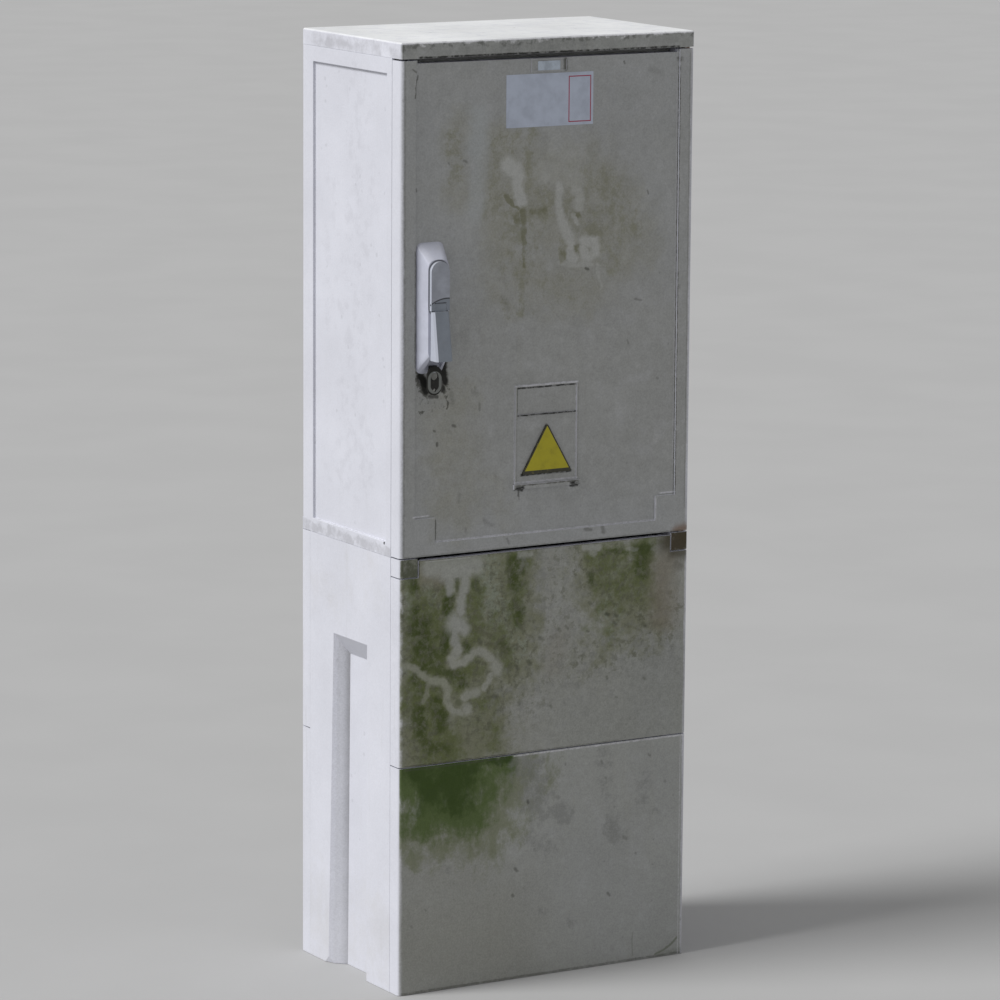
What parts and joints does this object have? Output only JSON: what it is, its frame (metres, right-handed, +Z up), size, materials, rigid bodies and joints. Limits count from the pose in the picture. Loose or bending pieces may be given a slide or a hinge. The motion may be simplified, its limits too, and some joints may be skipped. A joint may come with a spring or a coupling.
{
  "type": "street electrical cabinet",
  "caption": "Free-standing outdoor electrical cabinet: a moulded cabinet with a hinged, rod-locked door on a hollow cable pedestal.",
  "frame": {"origin": "middle of the pedestal's anchor holes, on the ground", "axes": "+Z up, the door faces -Y, +X to the right as seen from the front"},
  "size_m": [0.46, 0.318, 1.3],
  "materials": {
    "pedestal_moulding": "moulded glass-fibre polyester, light grey, weathered",
    "cover_moulding": "moulded glass-fibre polyester, light grey, with green algae and dirt",
    "rear_moulding": "moulded glass-fibre polyester, light grey, weathered",
    "cabinet_moulding": "moulded glass-fibre polyester, light grey, weathered",
    "floor_moulding": "moulded glass-fibre polyester, light grey, rust-stained lug",
    "frame_moulding": "moulded glass-fibre polyester, light grey",
    "lid_moulding": "moulded glass-fibre polyester, light grey, mottled edge",
    "door_moulding": "moulded glass-fibre polyester, light grey, hazed and streaked",
    "zinc_screws": "zinc-plated steel",
    "galvanised_rail": "galvanised steel",
    "hinge_steel": "steel, rusting",
    "eye_steel": "dull plated steel",
    "lock_steel": "zinc-plated steel",
    "rubber": "black rubber",
    "clamp_plastic": "black polyamide",
    "lock_plastic": "black polyamide",
    "handle_housing": "grey plastic, weathered",
    "handle_grip": "grey coated die casting",
    "triangle_yellow": "yellow, with a dark border",
    "board": "laminate board",
    "device_case": "light grey thermoplastic",
    "toggle_red": "red plastic",
    "toggle_black": "black plastic",
    "fuse_carrier": "dark grey plastic",
    "terminal_plastic": "grey-beige plastic",
    "bar_brass": "brass"
  },
  "bodies": {
    "cabinet": {"pedestal_left_side": "pedestal_moulding", "pedestal_right_side": "pedestal_moulding", "upper_front_cover": "cover_moulding", "lower_front_cover": "cover_moulding", "upper_rear_panel": "rear_moulding", "lower_rear_panel": "rear_moulding", "cover_screws": "zinc_screws", "cable_rail": "galvanised_rail", "cable_clamps": "clamp_plastic", "clamp_bolts": "zinc_screws", "cabinet_left_wall": "cabinet_moulding", "cabinet_right_wall": "cabinet_moulding", "cabinet_rear_wall": "cabinet_moulding", "cabinet_floor": "floor_moulding", "cable_entry_plate": "galvanised_rail", "cable_grommets": "rubber", "door_frame": "frame_moulding", "cabinet_lid": "lid_moulding", "lid_screws": "zinc_screws", "wall_screws": "zinc_screws", "section_bolts": "zinc_screws", "lower_hinge_pin": "hinge_steel", "upper_hinge_pin": "hinge_steel", "rod_keepers": "lock_steel", "mounting_plate": "board", "plate_standoffs": "lock_plastic", "plate_bolts": "zinc_screws", "upper_rail": "galvanised_rail", "lower_rail": "galvanised_rail", "main_switch": "device_case", "breaker_1": "device_case", "breaker_2": "device_case", "breaker_3": "device_case", "fuse_base": "device_case", "contactor": "device_case", "terminal_blocks": "terminal_plastic", "neutral_bar": "bar_brass", "bar_supports": "terminal_plastic", "bar_screws": "zinc_screws"},
    "door": {"door_shell": "door_moulding", "door_gasket": "rubber", "triangle_plate": "triangle_yellow", "handle_housing": "handle_housing", "padlock_eye": "eye_steel", "lock_base": "lock_plastic", "rod_guides": "lock_plastic"},
    "handle": {"handle_rotor": "handle_grip", "lock_pinion": "lock_steel", "shaft_screw": "zinc_screws", "lever_pin": "eye_steel"},
    "lever": {"handle_lever": "handle_grip"},
    "upper_rod": {"upper_lock_rod": "lock_steel"},
    "lower_rod": {"lower_lock_rod": "lock_steel"},
    "main_toggle": {"main_switch_toggle": "toggle_red"},
    "toggle_1": {"breaker_toggle_1": "toggle_black"},
    "toggle_2": {"breaker_toggle_2": "toggle_black"},
    "toggle_3": {"breaker_toggle_3": "toggle_black"},
    "carrier_1": {"fuse_carrier_1": "fuse_carrier"},
    "carrier_2": {"fuse_carrier_2": "fuse_carrier"},
    "carrier_3": {"fuse_carrier_3": "fuse_carrier"}
  },
  "joints": [
    {"name": "door_hinge", "type": "hinge", "parent": "cabinet", "child": "door", "pos_m": [0.221, -0.1275, 0.94], "axis": [0, 0, 1], "range_deg": [0, 110]},
    {"name": "handle_turn", "type": "hinge", "parent": "door", "child": "handle", "pos_m": [-0.184, -0.14, 0.996], "axis": [0, -1, 0], "range_deg": [0, 90]},
    {"name": "lever_swing", "type": "hinge", "parent": "handle", "child": "lever", "pos_m": [-0.184, -0.1623, 0.952], "axis": [-1, 0, 0], "range_deg": [0, 60]},
    {"name": "upper_rod_slide", "type": "slide", "parent": "door", "child": "upper_rod", "axis": [0, 0, -1], "range_m": [0, 0.0141]},
    {"name": "lower_rod_slide", "type": "slide", "parent": "door", "child": "lower_rod", "axis": [0, 0, 1], "range_m": [0, 0.0141]},
    {"name": "main_switch_throw", "type": "hinge", "parent": "cabinet", "child": "main_toggle", "pos_m": [-0.123, 0.0345, 1.09], "axis": [1, 0, 0], "range_deg": [0, 70]},
    {"name": "breaker_1_throw", "type": "hinge", "parent": "cabinet", "child": "toggle_1", "pos_m": [-0.069, 0.0345, 1.09], "axis": [1, 0, 0], "range_deg": [0, 70]},
    {"name": "breaker_2_throw", "type": "hinge", "parent": "cabinet", "child": "toggle_2", "pos_m": [-0.051, 0.0345, 1.09], "axis": [1, 0, 0], "range_deg": [0, 70]},
    {"name": "breaker_3_throw", "type": "hinge", "parent": "cabinet", "child": "toggle_3", "pos_m": [-0.033, 0.0345, 1.09], "axis": [1, 0, 0], "range_deg": [0, 70]},
    {"name": "fuse_1_pull", "type": "hinge", "parent": "cabinet", "child": "carrier_1", "pos_m": [0.009, 0.0285, 1.07], "axis": [1, 0, 0], "range_deg": [0, 75]},
    {"name": "fuse_2_pull", "type": "hinge", "parent": "cabinet", "child": "carrier_2", "pos_m": [0.027, 0.0285, 1.07], "axis": [1, 0, 0], "range_deg": [0, 75]},
    {"name": "fuse_3_pull", "type": "hinge", "parent": "cabinet", "child": "carrier_3", "pos_m": [0.045, 0.0285, 1.07], "axis": [1, 0, 0], "range_deg": [0, 75]}
  ],
  "couplings": [
    {"joint": "upper_rod_slide", "follows": "handle_turn", "m_per_rad": 0.0089127},
    {"joint": "lower_rod_slide", "follows": "handle_turn", "m_per_rad": 0.0089127}
  ]
}
